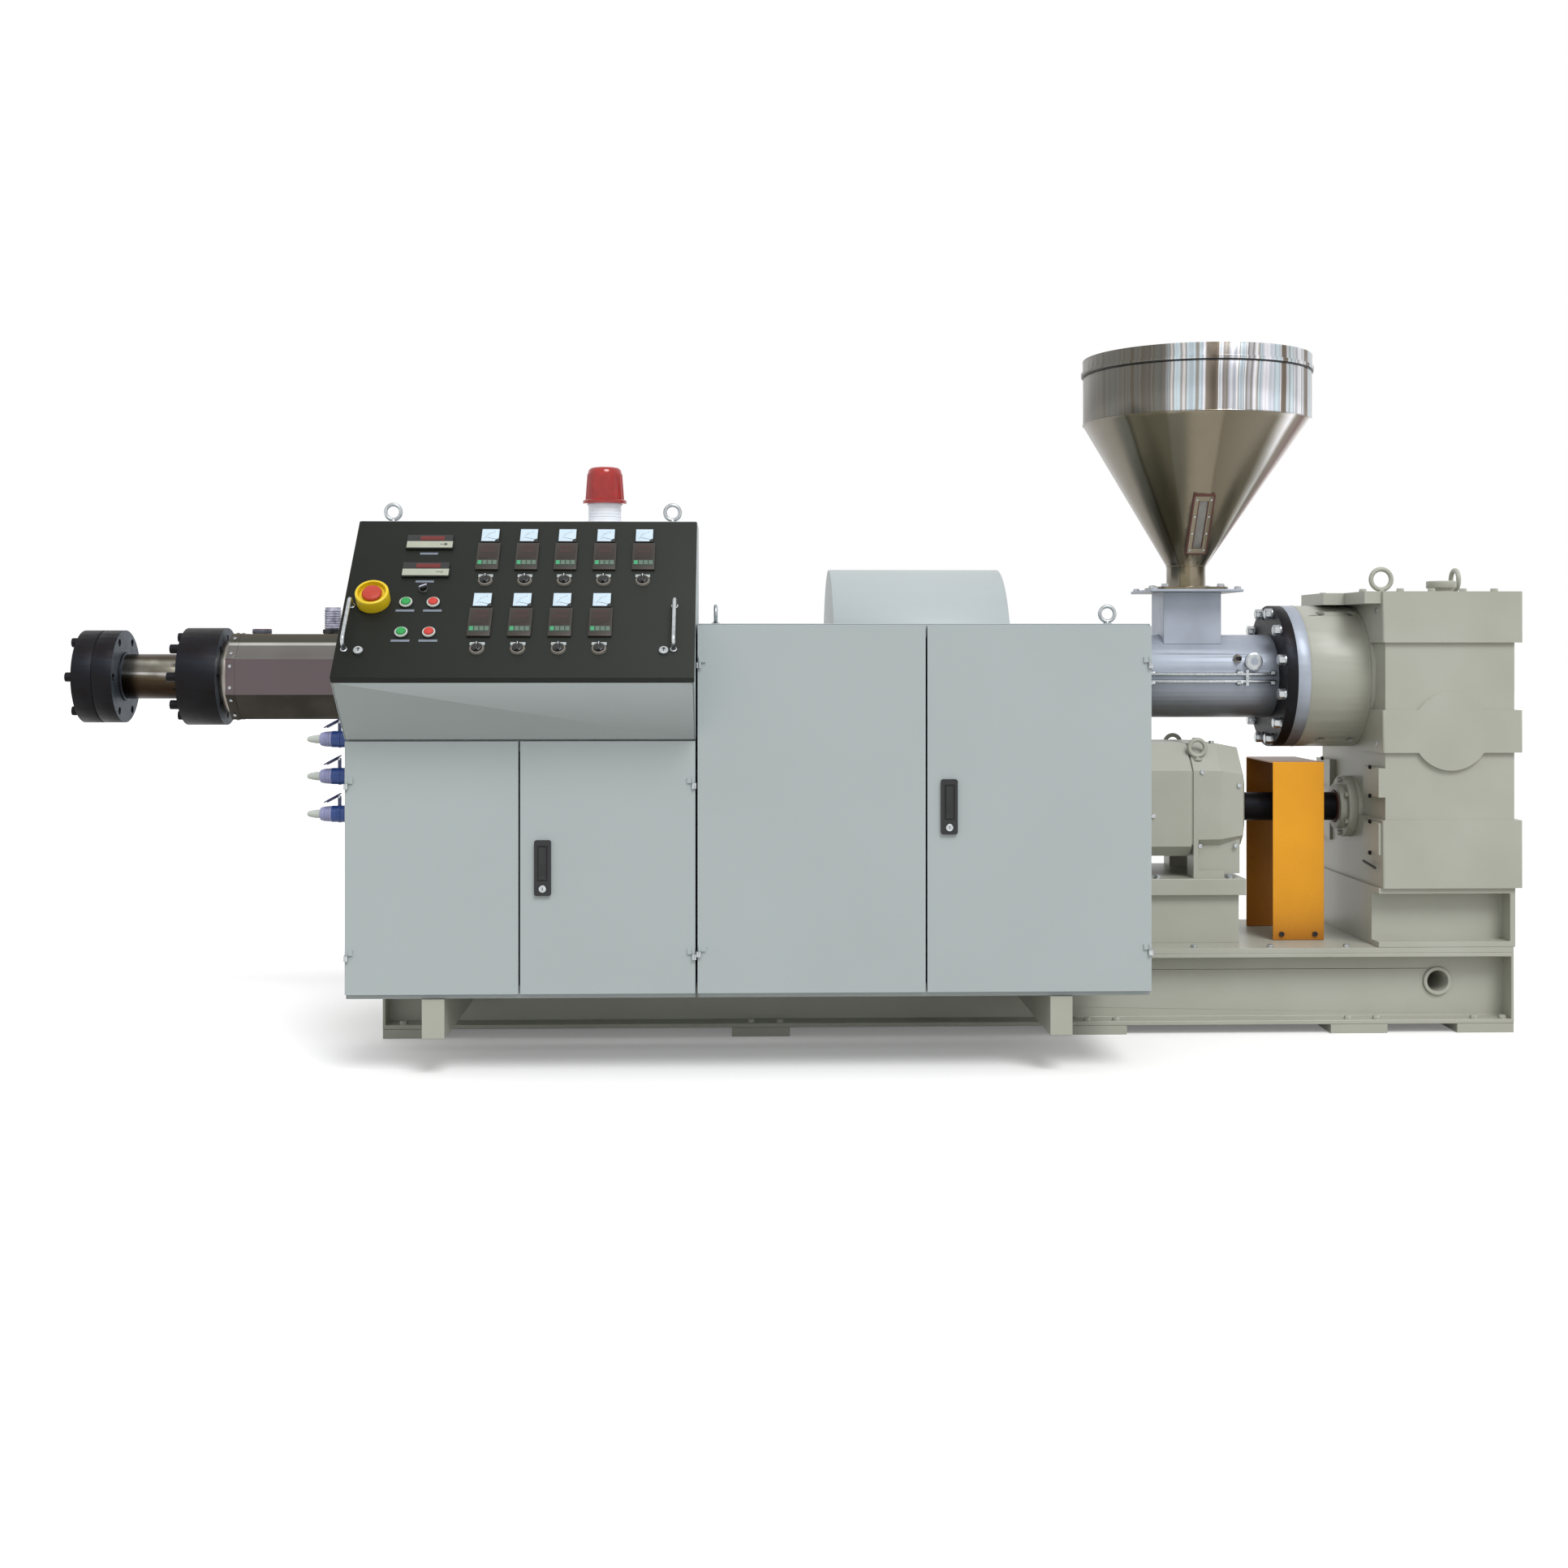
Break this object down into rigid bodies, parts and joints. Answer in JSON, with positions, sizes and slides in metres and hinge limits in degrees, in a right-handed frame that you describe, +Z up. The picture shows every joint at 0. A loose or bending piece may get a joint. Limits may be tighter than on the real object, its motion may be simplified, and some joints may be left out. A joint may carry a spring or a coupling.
{
  "type": "plastic extruder",
  "caption": "Twin-screw plastic extruder with a feed hopper, a gearbox and a motor on a base frame, and cabinets with a sloped operator panel in front.",
  "frame": {"origin": "centre of the machine's box at floor level", "axes": "+X from the melt outlet to the gearbox, operator at -Y, +Z up"},
  "size_m": [4.119, 1.293, 1.934],
  "materials": {
    "cabinet_grey": "fine powder coat",
    "machine_cream": "satin enamel",
    "panel_green": "satin enamel",
    "barrel_silver": "aluminium paint",
    "guard_yellow": "gloss enamel",
    "polished_stainless": "polished sheet",
    "satin_stainless": "satin sheet",
    "black_steel": "blackened and oiled",
    "turned_steel": "turned",
    "black_plastic": "moulded",
    "white_plastic": "moulded",
    "grey_plastic": "moulded",
    "blue_plastic": "moulded",
    "button_plastic": "moulded",
    "stop_yellow": "moulded",
    "beacon_red": "clear moulded",
    "zinc_steel": "zinc plated",
    "conduit_grey": "corrugated hose"
  },
  "bodies": {
    "root": {"adapter_pipe": "turned_steel", "barrel_core": "turned_steel", "barrel_head_flange": "black_steel", "barrel_hood": "cabinet_grey", "barrel_rear_flange": "black_steel", "barrel_supports": "machine_cream", "base_cross_members": "machine_cream", "base_feet": "machine_cream", "base_side_channels": "machine_cream", "beacon_base": "white_plastic", "beacon_lens": "beacon_red", "cabinet_back_panels": "cabinet_grey", "cabinet_beams": "machine_cream", "cabinet_eye_bolts": "zinc_steel", "cabinet_floors": "cabinet_grey", "cabinet_side_panels": "cabinet_grey", "cabinet_top_panels": "cabinet_grey", "cable_conduit": "conduit_grey", "console_nose_panel": "cabinet_grey", "console_side_panels": "cabinet_grey", "coolant_pipes": "zinc_steel", "coupling_guard": "guard_yellow", "deck_plate": "machine_cream", "distribution_housing": "machine_cream", "door_frames": "cabinet_grey", "door_hinges": "zinc_steel", "drive_motor": "machine_cream", "feed_barrel": "barrel_silver", "feed_hopper": "polished_stainless", "feed_throat": "barrel_silver", "gearbox_fittings": "machine_cream", "gearbox_housing": "machine_cream", "gearbox_riser": "machine_cream", "heater_cover": "satin_stainless", "hopper_lid": "polished_stainless", "input_bearing_cap": "machine_cream", "lifting_pipes": "machine_cream", "locating_ring": "turned_steel", "motor_pedestal": "machine_cream", "outlet_flanges": "black_steel", "panel_hinge_rod": "zinc_steel", "plug_sockets": "blue_plastic"},
    "console_door_left": {"console_door_left": "cabinet_grey"},
    "console_door_right": {"console_door_right": "cabinet_grey", "console_lock_handle": "black_plastic"},
    "cabinet_door_left": {"cabinet_door_left": "cabinet_grey"},
    "cabinet_door_right": {"cabinet_door_right": "cabinet_grey", "cabinet_lock_handle": "black_plastic"},
    "control_panel": {"control_panel": "panel_green", "ammeters": "white_plastic", "temperature_controllers": "grey_plastic", "selector_switches": "black_plastic", "digital_meters": "grey_plastic", "push_buttons": "button_plastic", "emergency_stop": "stop_yellow", "panel_handles": "zinc_steel"},
    "coupling": {"shaft_coupling": "black_steel"}
  },
  "joints": [
    {"name": "console_door_left_hinge", "type": "hinge", "parent": "root", "child": "console_door_left", "pos_m": [-1.1275, -0.4775, 0.56], "axis": [0, 0, -1], "range_deg": [0, 110]},
    {"name": "console_door_right_hinge", "type": "hinge", "parent": "root", "child": "console_door_right", "pos_m": [-0.2615, -0.4775, 0.56], "axis": [0, 0, 1], "range_deg": [0, 90]},
    {"name": "cabinet_door_left_hinge", "type": "hinge", "parent": "root", "child": "cabinet_door_left", "pos_m": [-0.2455, -0.4775, 0.56], "axis": [0, 0, -1], "range_deg": [0, 90]},
    {"name": "cabinet_door_right_hinge", "type": "hinge", "parent": "root", "child": "cabinet_door_right", "pos_m": [0.8925, -0.4775, 0.56], "axis": [0, 0, 1], "range_deg": [0, 110]},
    {"name": "control_panel_hinge", "type": "hinge", "parent": "root", "child": "control_panel", "pos_m": [-0.6945, -0.26895, 1.41011], "axis": [-1, 0, 0], "range_deg": [0, 60]},
    {"name": "coupling_spin", "type": "hinge", "parent": "root", "child": "coupling", "pos_m": [1.4855, 0.3105, 0.615], "axis": [1, 0, 0], "continuous": true}
  ]
}
